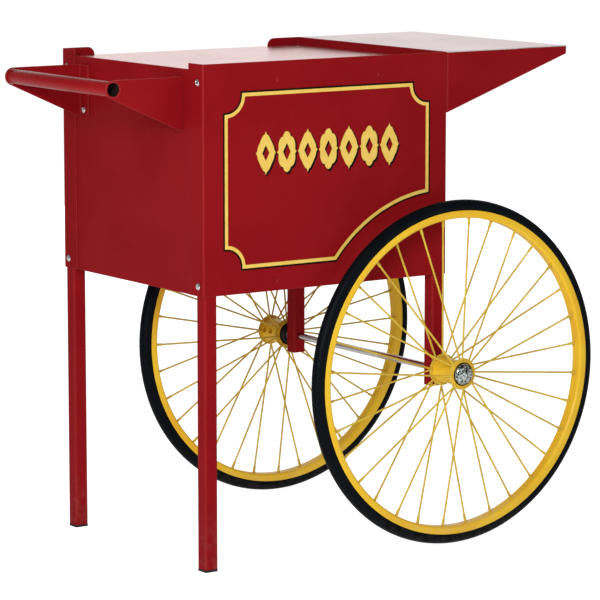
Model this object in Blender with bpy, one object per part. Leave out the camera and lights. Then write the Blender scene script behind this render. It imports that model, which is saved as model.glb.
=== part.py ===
"""Two-wheeled popcorn cart: a folded sheet-steel body on four square-tube legs, with a push
handle at one end, a fixed shelf at the other, and two large wire-spoked wheels.

Metres, +Z up. +X points from the handle to the shelf, the pin-striped front panel faces -Y, and
the origin is on the floor under the middle of the whole cart.
"""
import math

import bmesh
import bpy
from mathutils import Vector

# ---- Driving dimensions -------------------------------------------------------------------
GAP = 0.0003              # clearance between touching pieces
SHEET = 0.0010            # body sheet steel
BEND = 0.0025             # outer radius of the sheet's folds

BODY_LENGTH = 0.508
BODY_WIDTH = 0.4572
TOP_Z = 0.8636
BODY_BOTTOM_Z = 0.4730
CORNER_FLANGE = 0.044     # how far the long panels wrap round each corner
END_PANEL_DROP = 0.0105   # the handle end's panel stops this far below the top
DECK_DROP = 0.0140        # the deck lies this far below the top
DECK_SHEET = 0.0012
PAN_LIP = 0.025           # folded lip of the deck and of the floor pan
HANDLE_EAR = 0.066        # the rear panel stands up only this far from each end
SHELF_EAR = 0.070
EAR_RADIUS = 0.014

LEG = 0.0254
LEG_WALL = 0.0015
LEG_RADIUS = 0.0035
SHORT_LEG_BOTTOM_Z = 0.274
FOOT = 0.004              # thickness of the plastic foot under a long leg
FOOT_PLUG = 0.014

SHELF_REACH = 0.2685
SHELF_DEPTH = 0.1065      # height of the shelf's side plates at the body
SHELF_TIP = 0.0136
SHELF_SHEET = 0.0010
SHELF_LIP = 0.032

TUBE_RADIUS = 0.0127
TUBE_WALL = 0.0012
HANDLE_REACH = 0.136      # from the body to the tube's axis
HANDLE_Z = 0.824
HANDLE_HALF = 0.1675      # outer face of each handle plate, from the middle
HANDLE_PLATE = 0.0025
HANDLE_TIP_RADIUS = 0.0155
HANDLE_ROOT = 0.094       # height of a handle plate at the body
HANDLE_LIP = 0.029

WHEEL_RADIUS = 0.3048
TYRE_SECTION = 0.0118     # radius of the tyre's section
RIM_LIP_RADIUS = 0.2868
RIM_INNER_RADIUS = 0.2730
RIM_HALF_WIDTH = 0.0120
RIM_LIP = 0.0012          # thickness of the rim's lips
RIM_BED_HALF = 0.0082     # half width of the bed under the tyre
RIM_EDGE = 0.0030         # how far the rim's inner edges are cut back
RIM_DISH = 0.008          # the rim sits this far outboard of the hub's middle
HUB_OFFSET = 0.0415       # the hub's middle, outboard of the body side
HUB_HALF = 0.0315
BARREL_RADIUS = 0.023
BARREL_WALL = 0.002
FLANGE_RADIUS = 0.028
FLANGE_Z = 0.0285
FLANGE_THICKNESS = 0.0025
SPOKE_RADIUS = 0.0014
SPOKES_PER_FLANGE = 16
SPOKE_LEAN = math.radians(9)      # how far a spoke's hub end is turned from its rim end
RIM_HOLE_OFFSET = 0.002   # the rim's holes lie this far either side of its middle
NEAR_SPOKE_PHASE = math.radians(39.4)
FAR_SPOKE_PHASE = math.radians(33.5)
AXLE_RADIUS = 0.00635
AXLE_CLEARANCE = 0.00006  # running clearance of the bushes on the axle
AXLE_END = 0.0375         # end of the axle, outboard of the hub's middle
BUSH_DOME = 0.0065        # the inner bush's dust cover stands this proud of the hub
NUT_FLAT = 0.0095
WASHER_RADIUS = 0.0115
CAP_RADIUS = 0.019
CAP_HEIGHT = 0.0092

SCREW_HEAD = 0.006
SCREW_SHANK = 0.0024
SCREW_LENGTH = 0.008
SCREW_INSET = 0.016       # screw to the nearest vertical corner
TOP_SCREW_Z = TOP_Z - 0.0315
SHELF_SCREW_Z = TOP_Z - 0.0850
BOTTOM_SCREW_Z = BODY_BOTTOM_Z + 0.017
HANDLE_BOLTS_Z = (0.811, 0.7606)
HANDLE_BOLT_INSET = 0.014

TYRE_STEPS = 48
ROUND_STEPS = 24
SCREW_STEPS = 12
ARC_STEPS = 3

# ---- Places that follow from them ---------------------------------------------------------
LEG_INSET = 2 * (SHEET + GAP)                       # leg face, from the ends of the body
SIDE_INSET = SHEET + GAP                            # leg face, from the sides of the body
AXLE_FROM_END = BODY_LENGTH - LEG_INSET - LEG / 2
END_X = -(AXLE_FROM_END + WHEEL_RADIUS - HANDLE_REACH - HANDLE_TIP_RADIUS) / 2
SHELF_END_X = END_X + BODY_LENGTH
AXLE_X = END_X + AXLE_FROM_END
AXLE_Z = WHEEL_RADIUS
SIDE_Y = BODY_WIDTH / 2
DECK_Z = TOP_Z - DECK_DROP
HUB_Y = SIDE_Y + HUB_OFFSET
AXLE_BORE = (AXLE_RADIUS + AXLE_CLEARANCE) / math.cos(math.pi / ROUND_STEPS)

# Colour, roughness and metallic value of each finish
FINISHES = {
    "red_enamel": ((0.42, 0.010, 0.016), 0.35, 0.0),
    "yellow_enamel": ((0.83, 0.50, 0.045), 0.38, 0.0),
    "stainless": ((0.78, 0.77, 0.75), 0.18, 1.0),
    "tyre_rubber": ((0.012, 0.014, 0.018), 0.55, 0.0),
    "black_plastic": ((0.015, 0.015, 0.016), 0.45, 0.0),
    "chrome": ((0.80, 0.81, 0.83), 0.08, 1.0),
    "zinc_steel": ((0.62, 0.62, 0.60), 0.30, 1.0),
}


# ---- Outlines -----------------------------------------------------------------------------
def outline(corners, steps=ARC_STEPS):
    """Points of a closed outline; each corner is (u, v, radius) and a radius rounds it."""
    points = []
    for index, (u, v, radius) in enumerate(corners):
        corner = Vector((u, v))
        if not radius:
            points.append(corner)
            continue
        before = (Vector(corners[index - 1][:2]) - corner).normalized()
        after = (Vector(corners[(index + 1) % len(corners)][:2]) - corner).normalized()
        half = before.angle(after) / 2
        centre = corner + (before + after).normalized() * radius / math.sin(half)
        start = corner + before * radius / math.tan(half) - centre
        sweep = start.angle_signed(corner + after * radius / math.tan(half) - centre)
        for step in range(steps + 1):
            turn = -sweep * step / steps
            cosine, sine = math.cos(turn), math.sin(turn)
            offset = Vector((start.x * cosine - start.y * sine, start.x * sine + start.y * cosine))
            points.append(centre + offset)
    return points


def folded_plan(path, thickness, bend):
    """Outline of a sheet that follows a path of square left-hand folds, on its left side."""
    path = [Vector(point) for point in path]
    inner = []
    for index, point in enumerate(path):
        before = (point - path[index - 1]).normalized() if index else Vector((0, 0))
        after = (path[index + 1] - point).normalized() if index + 1 < len(path) else Vector((0, 0))
        direction = before + after
        inner.append(point + Vector((-direction.y, direction.x)) * thickness)
    last = len(path) - 1
    corners = [(p.x, p.y, bend if 0 < i < last else 0) for i, p in enumerate(path)]
    inner_bend = bend - thickness
    corners += [(inner[i].x, inner[i].y, inner_bend if 0 < i < last else 0)
                for i in range(last, -1, -1)]
    return outline(corners)


def rounded_square(half, radius):
    return outline([(-half, -half, radius), (half, -half, radius),
                    (half, half, radius), (-half, half, radius)])


# ---- Makers -------------------------------------------------------------------------------
def finish(name):
    material = bpy.data.materials.get(name)
    if material is None:
        colour, roughness, metallic = FINISHES[name]
        material = bpy.data.materials.new(name)
        material.use_nodes = True
        shader = material.node_tree.nodes["Principled BSDF"]
        shader.inputs["Base Color"].default_value = (*colour, 1)
        shader.inputs["Roughness"].default_value = roughness
        shader.inputs["Metallic"].default_value = metallic
    return material


def add_object(name, mesh, finish_name=None):
    """Put a mesh in the scene under a node's name; with no finish it is a cutter or a guide."""
    piece = bpy.data.objects.new(name, mesh)
    bpy.context.scene.collection.objects.link(piece)
    if finish_name is None:
        piece.hide_render = True
        piece.display_type = "WIRE"
    elif not mesh.materials:
        mesh.materials.append(finish(finish_name))
    return piece


def finished_mesh(name, bm, smooth=False):
    bmesh.ops.remove_doubles(bm, verts=bm.verts, dist=1e-6)
    bmesh.ops.recalc_face_normals(bm, faces=bm.faces)
    mesh = bpy.data.meshes.new(name)
    bm.to_mesh(mesh)
    bm.free()
    if smooth:
        mesh.shade_smooth()
        mesh.set_sharp_from_angle(angle=math.radians(35))
    return mesh


def extrude_outline(bm, points, depth):
    """Add the solid between a flat closed outline and its copy moved by depth."""
    face = bm.faces.new([bm.verts.new(point) for point in points])
    extruded = bmesh.ops.extrude_face_region(bm, geom=[face])
    moved = [part for part in extruded["geom"] if isinstance(part, bmesh.types.BMVert)]
    bmesh.ops.translate(bm, verts=moved, vec=depth)


def upright(name, plan, low, high, finish_name, smooth=False):
    """A solid with an XY plan, from height low to height high."""
    bm = bmesh.new()
    extrude_outline(bm, [(u, v, low) for u, v in plan], (0, 0, high - low))
    return add_object(name, finished_mesh(name, bm, smooth), finish_name)


def side_plate(name, profile, low, high, finish_name):
    """A solid with an XZ profile, from y = low to y = high."""
    bm = bmesh.new()
    extrude_outline(bm, [(u, low, v) for u, v in profile], (0, high - low, 0))
    return add_object(name, finished_mesh(name, bm), finish_name)


def block(name, low, high, finish_name):
    plan = [(low[0], low[1]), (high[0], low[1]), (high[0], high[1]), (low[0], high[1])]
    return upright(name, plan, low[2], high[2], finish_name)


def turned_mesh(name, profile, steps, ring=False):
    """A turned shape about Z; profile is (radius, height), and a ring's profile is closed."""
    bm = bmesh.new()
    points = [bm.verts.new((radius, 0, height)) for radius, height in profile]
    edges = [bm.edges.new(pair) for pair in zip(points, points[1:])]
    if ring:
        edges.append(bm.edges.new((points[-1], points[0])))
    bmesh.ops.spin(bm, geom=points + edges, cent=(0, 0, 0), axis=(0, 0, 1),
                   angle=math.tau, steps=steps, use_merge=True)
    return finished_mesh(name, bm, smooth=True)


def lofted_tube(name, loops, finish_name):
    """A closed body through loops of equal point counts, with a flat face at each end."""
    bm = bmesh.new()
    rows = [[bm.verts.new(point) for point in loop] for loop in loops]
    count = len(rows[0])
    for below, above in zip(rows, rows[1:]):
        for index in range(count):
            after = (index + 1) % count
            bm.faces.new((below[index], below[after], above[after], above[index]))
    bm.faces.new(rows[0])
    bm.faces.new(rows[-1])
    return add_object(name, finished_mesh(name, bm), finish_name)


def combine(piece, tool, operation):
    modifier = piece.modifiers.new(tool.name, "BOOLEAN")
    modifier.operation = operation
    modifier.solver = "EXACT"
    modifier.object = tool


def drill(piece, holes, radius, axis):
    """Cut round holes along X or Y; each hole is (centre, length of the cut)."""
    bm = bmesh.new()
    steps = SCREW_STEPS if radius < AXLE_RADIUS else ROUND_STEPS
    for centre, length in holes:
        circle = []
        for step in range(steps):
            turn = math.tau * step / steps
            across, up = radius * math.cos(turn), radius * math.sin(turn)
            offset = (-length / 2, across, up) if axis == "X" else (across, -length / 2, up)
            circle.append(Vector(centre) + Vector(offset))
        extrude_outline(bm, circle, (length, 0, 0) if axis == "X" else (0, length, 0))
    name = f"{piece.name}_{axis}_cut_{len(piece.modifiers)}"
    combine(piece, add_object(name, finished_mesh(name, bm)), "DIFFERENCE")


# ---- Body ---------------------------------------------------------------------------------
def corner_screws(end_x):
    """Centres of the screws through one end of the body: near and far, at each height."""
    heights = [TOP_SCREW_Z, BOTTOM_SCREW_Z]
    if end_x > 0:
        heights.append(SHELF_SCREW_Z)
    return [(end_x, side * (SIDE_Y - SCREW_INSET), z) for side in (-1, 1) for z in heights]


def long_panel(name, side):
    """Front (side -1) or rear (side 1) panel, wrapped round both vertical corners."""
    start, end = (END_X, SHELF_END_X) if side < 0 else (SHELF_END_X, END_X)
    edge = side * SIDE_Y
    inside = edge - side * CORNER_FLANGE
    plan = folded_plan([(start, inside), (start, edge), (end, edge), (end, inside)], SHEET, BEND)
    panel = upright(name, plan, BODY_BOTTOM_Z, TOP_Z, "red_enamel")
    holes = [centre for end_x in (END_X, SHELF_END_X) for centre in corner_screws(end_x)]
    holes = [(centre, LEG / 2) for centre in holes if centre[1] * side > 0]
    drill(panel, holes, SCREW_SHANK + GAP, "X")
    return panel


def rear_panel():
    """The rear panel is cut down to the deck between an ear at each end."""
    panel = long_panel("rear_panel", 1)
    low = DECK_Z - 2 * GAP
    above = TOP_Z + 2 * EAR_RADIUS
    left = END_X + HANDLE_EAR
    right = SHELF_END_X - SHELF_EAR
    profile = outline([
        (left, low, 0), (right, low, 0), (right, TOP_Z, EAR_RADIUS),
        (right + EAR_RADIUS * 2, TOP_Z, 0), (right + EAR_RADIUS * 2, above, 0),
        (left - EAR_RADIUS * 2, above, 0), (left - EAR_RADIUS * 2, TOP_Z, 0),
        (left, TOP_Z, EAR_RADIUS)], steps=6)
    cutter = side_plate("rear_panel_cut", profile, SIDE_Y - BEND * 2, SIDE_Y + BEND, None)
    combine(panel, cutter, "DIFFERENCE")


def end_panel(name, end_x, inward, top):
    """Flat panel just inside the long panels' flanges at one end of the body."""
    outer = end_x + inward * (SHEET + GAP)
    low_x, high_x = sorted((outer, outer + inward * SHEET))
    reach = SIDE_Y - BEND
    panel = block(name, (low_x, -reach, BODY_BOTTOM_Z), (high_x, reach, top), "red_enamel")
    drill(panel, [(centre, LEG / 2) for centre in corner_screws(end_x)], SCREW_SHANK + GAP, "X")
    return panel


def pan(name, low, lip_up, notch):
    """A tray with a folded lip between the legs; a notch clears the legs at each corner."""
    x = BODY_LENGTH / 2 - LEG_INSET
    y = SIDE_Y - SIDE_INSET
    middle = END_X + BODY_LENGTH / 2
    corners = []
    for cx, cy in ((-1, -1), (1, -1), (1, 1), (-1, 1)):
        if not notch:
            corners.append((middle + cx * x, cy * y))
            continue
        steps = [(x, y - notch), (x - notch, y - notch), (x - notch, y)]
        if cx * cy > 0:
            steps.reverse()
        corners += [(middle + cx * u, cy * v) for u, v in reversed(steps)]
    finish_name = "stainless" if not notch else "red_enamel"
    plate = upright(name, corners, low, low + DECK_SHEET, finish_name)
    root = low + DECK_SHEET / 2
    lip_low, lip_high = (root, root + PAN_LIP) if lip_up else (root - PAN_LIP, root)
    clear = LEG + 4 * GAP + BEND
    wall = DECK_SHEET
    edge = GAP
    for label, dx, dy in (("handle", -1, 0), ("shelf", 1, 0), ("front", 0, -1), ("rear", 0, 1)):
        if dx:
            ends = sorted((middle + dx * (x - edge), middle + dx * (x - edge - wall)))
            span = ((ends[0], -(y - clear)), (ends[1], y - clear))
        else:
            ends = sorted((dy * (y - edge), dy * (y - edge - wall)))
            span = ((middle - (x - clear), ends[0]), (middle + (x - clear), ends[1]))
        lip = block(f"{name}_{label}_lip", (*span[0], lip_low), (*span[1], lip_high), None)
        combine(plate, lip, "UNION")
    return plate


def body():
    long_panel("front_panel", -1)
    rear_panel()
    handle_end = end_panel("handle_end_panel", END_X, 1, TOP_Z - END_PANEL_DROP)
    bolts = [((END_X, y, z), LEG / 2) for _, y, z in handle_bolts()]
    drill(handle_end, bolts, SCREW_SHANK + GAP * 2, "X")
    end_panel("shelf_end_panel", SHELF_END_X, -1, TOP_Z)
    pan("deck", DECK_Z - DECK_SHEET, lip_up=False, notch=0)
    pan("floor_pan", BODY_BOTTOM_Z + GAP, lip_up=True, notch=LEG + GAP)


# ---- Legs ---------------------------------------------------------------------------------
def leg(name, x, side, low):
    """Square tube from height low to just under the deck, drilled for its screws."""
    y = side * (SIDE_Y - SIDE_INSET - LEG / 2)
    high = DECK_Z - DECK_SHEET - GAP
    outer = rounded_square(LEG / 2, LEG_RADIUS)
    inner = rounded_square(LEG / 2 - LEG_WALL, LEG_RADIUS - LEG_WALL)
    bm = bmesh.new()
    rows = [[bm.verts.new((x + u, y + v, z)) for u, v in loop]
            for loop, z in ((outer, low), (outer, high), (inner, high), (inner, low))]
    count = len(outer)
    for row in range(4):
        here, there = rows[row], rows[(row + 1) % 4]
        for index in range(count):
            after = (index + 1) % count
            bm.faces.new((here[index], here[after], there[after], there[index]))
    tube = add_object(name, finished_mesh(name, bm), "red_enamel")
    end_x = END_X if x < 0 else SHELF_END_X
    screws = [centre for centre in corner_screws(end_x) if centre[1] * side > 0]
    drill(tube, [(centre, LEG) for centre in screws], SCREW_SHANK + GAP, "X")
    return tube


def foot(name, x, side):
    """Black plastic foot: a pad under the tube and a plug inside it."""
    y = side * (SIDE_Y - SIDE_INSET - LEG / 2)
    pad = rounded_square(LEG / 2 + GAP, LEG_RADIUS)
    plug = rounded_square(LEG / 2 - LEG_WALL - GAP, LEG_RADIUS - LEG_WALL)
    stack = ((pad, 0), (pad, FOOT), (plug, FOOT), (plug, FOOT + FOOT_PLUG))
    loops = [[(x + u, y + v, z) for u, v in loop] for loop, z in stack]
    lofted_tube(name, loops, "black_plastic")


def legs():
    handle_end_x = END_X + LEG_INSET + LEG / 2
    for label, side in (("near", -1), ("far", 1)):
        leg(f"{label}_long_leg", handle_end_x, side, FOOT + GAP)
        foot(f"{label}_foot", handle_end_x, side)
        short = leg(f"{label}_short_leg", AXLE_X, side, SHORT_LEG_BOTTOM_Z)
        centre = (AXLE_X, side * (SIDE_Y - SIDE_INSET - LEG / 2), AXLE_Z)
        drill(short, [(centre, LEG * 2)], AXLE_RADIUS + GAP + GAP / 3, "Y")


# ---- Shelf --------------------------------------------------------------------------------
def shelf():
    """One folded frame of two tapered sides and a front strip, under a stainless top."""
    root = SHELF_END_X + GAP
    tip = SHELF_END_X + SHELF_REACH
    lip = SIDE_Y - SHELF_LIP
    top = TOP_Z - SHELF_SHEET - GAP
    low = TOP_Z - SHELF_DEPTH
    path = [(root, -lip), (root, -SIDE_Y), (tip, -SIDE_Y), (tip, SIDE_Y), (root, SIDE_Y), (root, lip)]
    frame = upright("shelf_frame", folded_plan(path, SHEET, BEND), low, top, "red_enamel")
    slope = (SHELF_DEPTH - SHELF_TIP) / (tip - root)
    over = LEG
    below = [(root - over, low - over * slope), (root - over, low - over - SHELF_DEPTH),
             (tip + over, low - over - SHELF_DEPTH), (tip + over, TOP_Z - SHELF_TIP + over * slope)]
    cutter = side_plate("shelf_frame_cut", below, -BODY_WIDTH, BODY_WIDTH, None)
    combine(frame, cutter, "DIFFERENCE")
    screws = [(x, y, z) for x, y, z in corner_screws(SHELF_END_X) if z > BOTTOM_SCREW_Z]
    drill(frame, [(centre, LEG / 2) for centre in screws], SCREW_SHANK + GAP, "X")
    block("shelf_top", (root, -SIDE_Y, TOP_Z - SHELF_SHEET), (tip, SIDE_Y, TOP_Z), "stainless")


# ---- Handle -------------------------------------------------------------------------------
def handle_bolts():
    """Centres of the four bolts on the handle end's panel, seen from outside it."""
    y = HANDLE_HALF - HANDLE_BOLT_INSET
    return [(END_X + SHEET - HANDLE_PLATE, side * y, z) for side in (-1, 1) for z in HANDLE_BOLTS_Z]


def handle_profile(root):
    """A plate tapering from the body to a round end on the tube's axis.

    The end's arc is tangent to the level top edge and to the sloping lower edge. With the lower
    edge falling by an angle a, u = tan(a / 2) solves H u^2 + 2 D u + 2 R - H = 0, where H is
    the height at the body, D the distance to the tube's axis and R the end's radius.
    """
    top = HANDLE_Z + HANDLE_TIP_RADIUS
    distance = root - (END_X - HANDLE_REACH)
    spare = HANDLE_ROOT * (HANDLE_ROOT - 2 * HANDLE_TIP_RADIUS)
    half_tangent = (math.sqrt(distance ** 2 + spare) - distance) / HANDLE_ROOT
    apex = END_X - HANDLE_REACH - HANDLE_TIP_RADIUS / half_tangent
    corners = [(root, top, 0), (apex, top, HANDLE_TIP_RADIUS), (root, top - HANDLE_ROOT, 0.006)]
    return outline(corners, steps=8)


def handle_plate(name, side):
    """Tapered plate with a lip folded inwards where it is bolted to the end panel."""
    root = END_X + SHEET
    outer = side * HANDLE_HALF
    inner = side * (HANDLE_HALF - HANDLE_PLATE)
    low, high = sorted((outer, inner))
    plate = side_plate(name, handle_profile(root), low, high, "red_enamel")
    top = HANDLE_Z + HANDLE_TIP_RADIUS
    low, high = sorted((outer - side * GAP, outer - side * HANDLE_LIP))
    corners = [(low, top - GAP, 0), (high, top - GAP, 0), (high, top - HANDLE_ROOT + BEND * 3, 0),
               (low, top - HANDLE_ROOT + BEND * 3, 0)]
    bm = bmesh.new()
    points = [(root - HANDLE_PLATE - GAP, u, v) for u, v in outline(corners)]
    extrude_outline(bm, points, (HANDLE_PLATE, 0, 0))
    lip = add_object(f"{name}_lip", finished_mesh(f"{name}_lip", bm))
    combine(plate, lip, "UNION")
    bolts = [(centre, LEG / 2) for centre in handle_bolts() if centre[1] * side > 0]
    drill(plate, bolts, SCREW_SHANK + GAP, "X")
    tube_axis = (END_X - HANDLE_REACH, outer, HANDLE_Z)
    drill(plate, [(tube_axis, LEG)], TUBE_RADIUS + GAP * 1.5, "Y")


def handle():
    handle_plate("near_handle_plate", -1)
    handle_plate("far_handle_plate", 1)
    inner = TUBE_RADIUS - TUBE_WALL
    profile = [(TUBE_RADIUS, HANDLE_HALF), (TUBE_RADIUS, -HANDLE_HALF),
               (inner, -HANDLE_HALF), (inner, HANDLE_HALF)]
    mesh = turned_mesh("handle_tube", profile, ROUND_STEPS, ring=True)
    tube = add_object("handle_tube", mesh, "red_enamel")
    tube.location = (END_X - HANDLE_REACH, 0, HANDLE_Z)
    tube.rotation_euler = (math.pi / 2, 0, 0)


# ---- Fasteners ----------------------------------------------------------------------------
def screw_mesh():
    """Domed head above z = 0 and a plain shank below it."""
    profile = [(0, 0.0031), (0.0036, 0.0026), (SCREW_HEAD, 0.0009), (SCREW_HEAD, 0),
               (SCREW_SHANK, 0), (SCREW_SHANK, -SCREW_LENGTH), (0, -SCREW_LENGTH)]
    return turned_mesh("screw", profile, SCREW_STEPS)


def place_screw(name, mesh, centre, outward):
    """Stand a screw's head off the face at centre, pointing outward along X."""
    screw = add_object(name, mesh, "chrome")
    screw.location = (centre[0] + outward * GAP, centre[1], centre[2])
    screw.rotation_euler = (0, outward * math.pi / 2, 0)


def fasteners():
    mesh = screw_mesh()
    side_names = {-1: "near", 1: "far"}
    for x, y, z in corner_screws(END_X):
        place = "top" if z == TOP_SCREW_Z else "bottom"
        side = side_names[1 if y > 0 else -1]
        place_screw(f"{side}_handle_end_{place}_screw", mesh, (x, y, z), -1)
    places = {TOP_SCREW_Z: "upper_shelf", SHELF_SCREW_Z: "lower_shelf",
              BOTTOM_SCREW_Z: "shelf_end_bottom"}
    for x, y, z in corner_screws(SHELF_END_X):
        side = side_names[1 if y > 0 else -1]
        on_frame = z > BOTTOM_SCREW_Z
        face = x + (SHEET + GAP if on_frame else 0)
        place_screw(f"{side}_{places[z]}_screw", mesh, (face, y, z), 1)
    for x, y, z in handle_bolts():
        place = "upper" if z == max(HANDLE_BOLTS_Z) else "lower"
        side = side_names[1 if y > 0 else -1]
        place_screw(f"{side}_{place}_handle_bolt", mesh, (x - GAP, y, z), -1)


# ---- Wheels -------------------------------------------------------------------------------
def tyre_mesh():
    """Solid round-section tyre, in the wheel's own frame: Z points outboard."""
    middle = WHEEL_RADIUS - TYRE_SECTION
    sides = 10
    profile = [(middle + TYRE_SECTION * math.cos(math.tau * step / sides),
                RIM_DISH - TYRE_SECTION * math.sin(math.tau * step / sides))
               for step in range(sides)]
    return turned_mesh("tyre", profile, TYRE_STEPS, ring=True)


def rim_mesh():
    """Shallow channel that the tyre sits in."""
    floor = WHEEL_RADIUS - 2 * TYRE_SECTION - GAP * 2
    lip = RIM_HALF_WIDTH - RIM_LIP
    half = [(RIM_LIP_RADIUS, RIM_HALF_WIDTH), (RIM_INNER_RADIUS + RIM_EDGE, RIM_HALF_WIDTH),
            (RIM_INNER_RADIUS, RIM_HALF_WIDTH - RIM_EDGE)]
    bed_half = [(floor, RIM_BED_HALF), (RIM_LIP_RADIUS, lip)]
    profile = half + [(r, -z) for r, z in reversed(half)]
    profile += [(r, -z) for r, z in reversed(bed_half)] + bed_half
    profile = [(r, z + RIM_DISH) for r, z in profile]
    return turned_mesh("rim", profile, TYRE_STEPS, ring=True)


def spokes(name, side_z, phase, axis):
    """One hub flange with its spokes, alternately on its outboard and inboard face.

    Each spoke runs straight from the flange to just inside the rim. Its hub end is turned by
    SPOKE_LEAN from its rim end, forwards and backwards in turn, so the spokes leave in pairs.
    """
    low = side_z - FLANGE_THICKNESS / 2
    high = side_z + FLANGE_THICKNESS / 2
    bore = BARREL_RADIUS + GAP
    profile = [(bore, low), (FLANGE_RADIUS, low), (FLANGE_RADIUS, high), (bore, high)]
    mesh = turned_mesh(name, profile, ROUND_STEPS, ring=True)
    flange = wheel_piece(name, mesh, "yellow_enamel", axis, phase)
    bm = bmesh.new()
    for index in range(SPOKES_PER_FLANGE):
        way = 1 if index % 2 == 0 else -1
        rim_turn = math.tau * index / SPOKES_PER_FLANGE
        hub_turn = rim_turn + way * SPOKE_LEAN
        hub_radius = FLANGE_RADIUS - 2 * SPOKE_RADIUS
        rim_radius = RIM_INNER_RADIUS - 4 * GAP
        outside = side_z + way * (FLANGE_THICKNESS / 2 + SPOKE_RADIUS / 2)
        rim_z = RIM_DISH + math.copysign(RIM_HOLE_OFFSET, side_z)
        hub = Vector((hub_radius * math.cos(hub_turn), hub_radius * math.sin(hub_turn), outside))
        rim = Vector((rim_radius * math.cos(rim_turn), rim_radius * math.sin(rim_turn), rim_z))
        add_wire(bm, hub, rim)
    wires = add_object(f"{name}_wires", finished_mesh(f"{name}_wires", bm))
    wires.parent = flange.parent
    wires.rotation_euler = flange.rotation_euler
    combine(flange, wires, "UNION")


def add_wire(bm, start, end):
    """Six-sided wire between two points, with square ends."""
    along = (end - start).normalized()
    across = along.cross(Vector((0, 0, 1))).normalized()
    up = across.cross(along)
    circle = []
    for step in range(6):
        turn = math.tau * step / 6
        circle.append(start + (across * math.cos(turn) + up * math.sin(turn)) * SPOKE_RADIUS)
    extrude_outline(bm, circle, end - start)


def barrel(name, axis):
    """Hollow hub drum with two round holes side by side in its wall."""
    inner = BARREL_RADIUS - BARREL_WALL
    profile = [(BARREL_RADIUS, HUB_HALF), (BARREL_RADIUS, -HUB_HALF),
               (inner, -HUB_HALF), (inner, HUB_HALF)]
    drum = wheel_piece(name, turned_mesh(name, profile, ROUND_STEPS, ring=True),
                       "yellow_enamel", axis, 0)
    hole_turn = math.radians(8)
    out = Vector((math.cos(hole_turn), math.sin(hole_turn), 0))
    across = Vector((-out.y, out.x, 0))
    bm = bmesh.new()
    for height in (0.0185, -0.0015):
        circle = []
        for step in range(SCREW_STEPS):
            turn = math.tau * step / SCREW_STEPS
            edge = across * math.cos(turn) + Vector((0, 0, math.sin(turn)))
            circle.append(out * (inner / 2) + edge * 0.006 + Vector((0, 0, height)))
        extrude_outline(bm, circle, out * BARREL_RADIUS)
    cutter = add_object(f"{name}_cut", finished_mesh(f"{name}_cut", bm))
    cutter.parent = axis
    combine(drum, cutter, "DIFFERENCE")


def bush_meshes():
    """Inner bush with a domed dust cover, and plain outer bush."""
    bore = AXLE_BORE
    body_radius = BARREL_RADIUS - BARREL_WALL - GAP
    depth = 0.0065
    inner = [(bore, -HUB_HALF + depth), (body_radius, -HUB_HALF + depth), (body_radius, -HUB_HALF),
             (0.0180, -HUB_HALF), (0.0170, -HUB_HALF - 0.0035), (0.0120, -HUB_HALF - 0.0060),
             (bore, -HUB_HALF - BUSH_DOME)]
    outer = [(bore, HUB_HALF), (body_radius, HUB_HALF), (body_radius, HUB_HALF - depth),
             (bore, HUB_HALF - depth)]
    return (turned_mesh("inner_bush", inner, ROUND_STEPS, ring=True),
            turned_mesh("outer_bush", outer, ROUND_STEPS, ring=True))


def cap_mesh():
    """Thin domed cap: an ellipse of revolution over the axle's end."""
    base = HUB_HALF + GAP
    wall = 0.0010
    rings = 5
    turns = [math.pi / 2 * ring / rings for ring in range(rings + 1)]
    outer = [(CAP_RADIUS * math.sin(turn), base + CAP_HEIGHT * math.cos(turn)) for turn in turns]
    inner = [((CAP_RADIUS - wall) * math.sin(turn), base + (CAP_HEIGHT - wall) * math.cos(turn))
             for turn in reversed(turns)]
    return turned_mesh("hub_cap", outer + inner, ROUND_STEPS)


def washer_mesh(bore, low, high):
    profile = [(bore, low), (WASHER_RADIUS, low), (WASHER_RADIUS, high), (bore, high)]
    return turned_mesh("axle_washer", profile, ROUND_STEPS, ring=True)


def nut_mesh(bore, low, high):
    """Hexagon nut with a round bore; the hexagon's radius is apothem / cos(turn from a flat)."""
    bm = bmesh.new()
    rows = [[] for _ in range(4)]
    for step in range(ROUND_STEPS):
        turn = math.tau * step / ROUND_STEPS
        from_flat = (turn + math.pi / 6) % (math.pi / 3) - math.pi / 6
        radius = NUT_FLAT / math.cos(from_flat)
        corners = ((bore, low), (radius, low), (radius, high), (bore, high))
        for row, (r, z) in zip(rows, corners):
            row.append(bm.verts.new((r * math.cos(turn), r * math.sin(turn), z)))
    for index in range(4):
        here, there = rows[index], rows[(index + 1) % 4]
        for step in range(ROUND_STEPS):
            after = (step + 1) % ROUND_STEPS
            bm.faces.new((here[step], here[after], there[after], there[step]))
    return finished_mesh("axle_nut", bm)


def wheel_piece(name, mesh, finish_name, axis, turn):
    piece = add_object(name, mesh, finish_name)
    piece.parent = axis
    piece.rotation_euler = (0, 0, turn)
    return piece


def wheel_axis(name, side):
    """Empty on the axle at the hub's middle, with its Z pointing outboard."""
    axis = bpy.data.objects.new(name, None)
    bpy.context.scene.collection.objects.link(axis)
    axis.location = (AXLE_X, side * HUB_Y, AXLE_Z)
    axis.rotation_euler = (math.pi / 2, 0, 0 if side < 0 else math.pi)
    return axis


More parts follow.
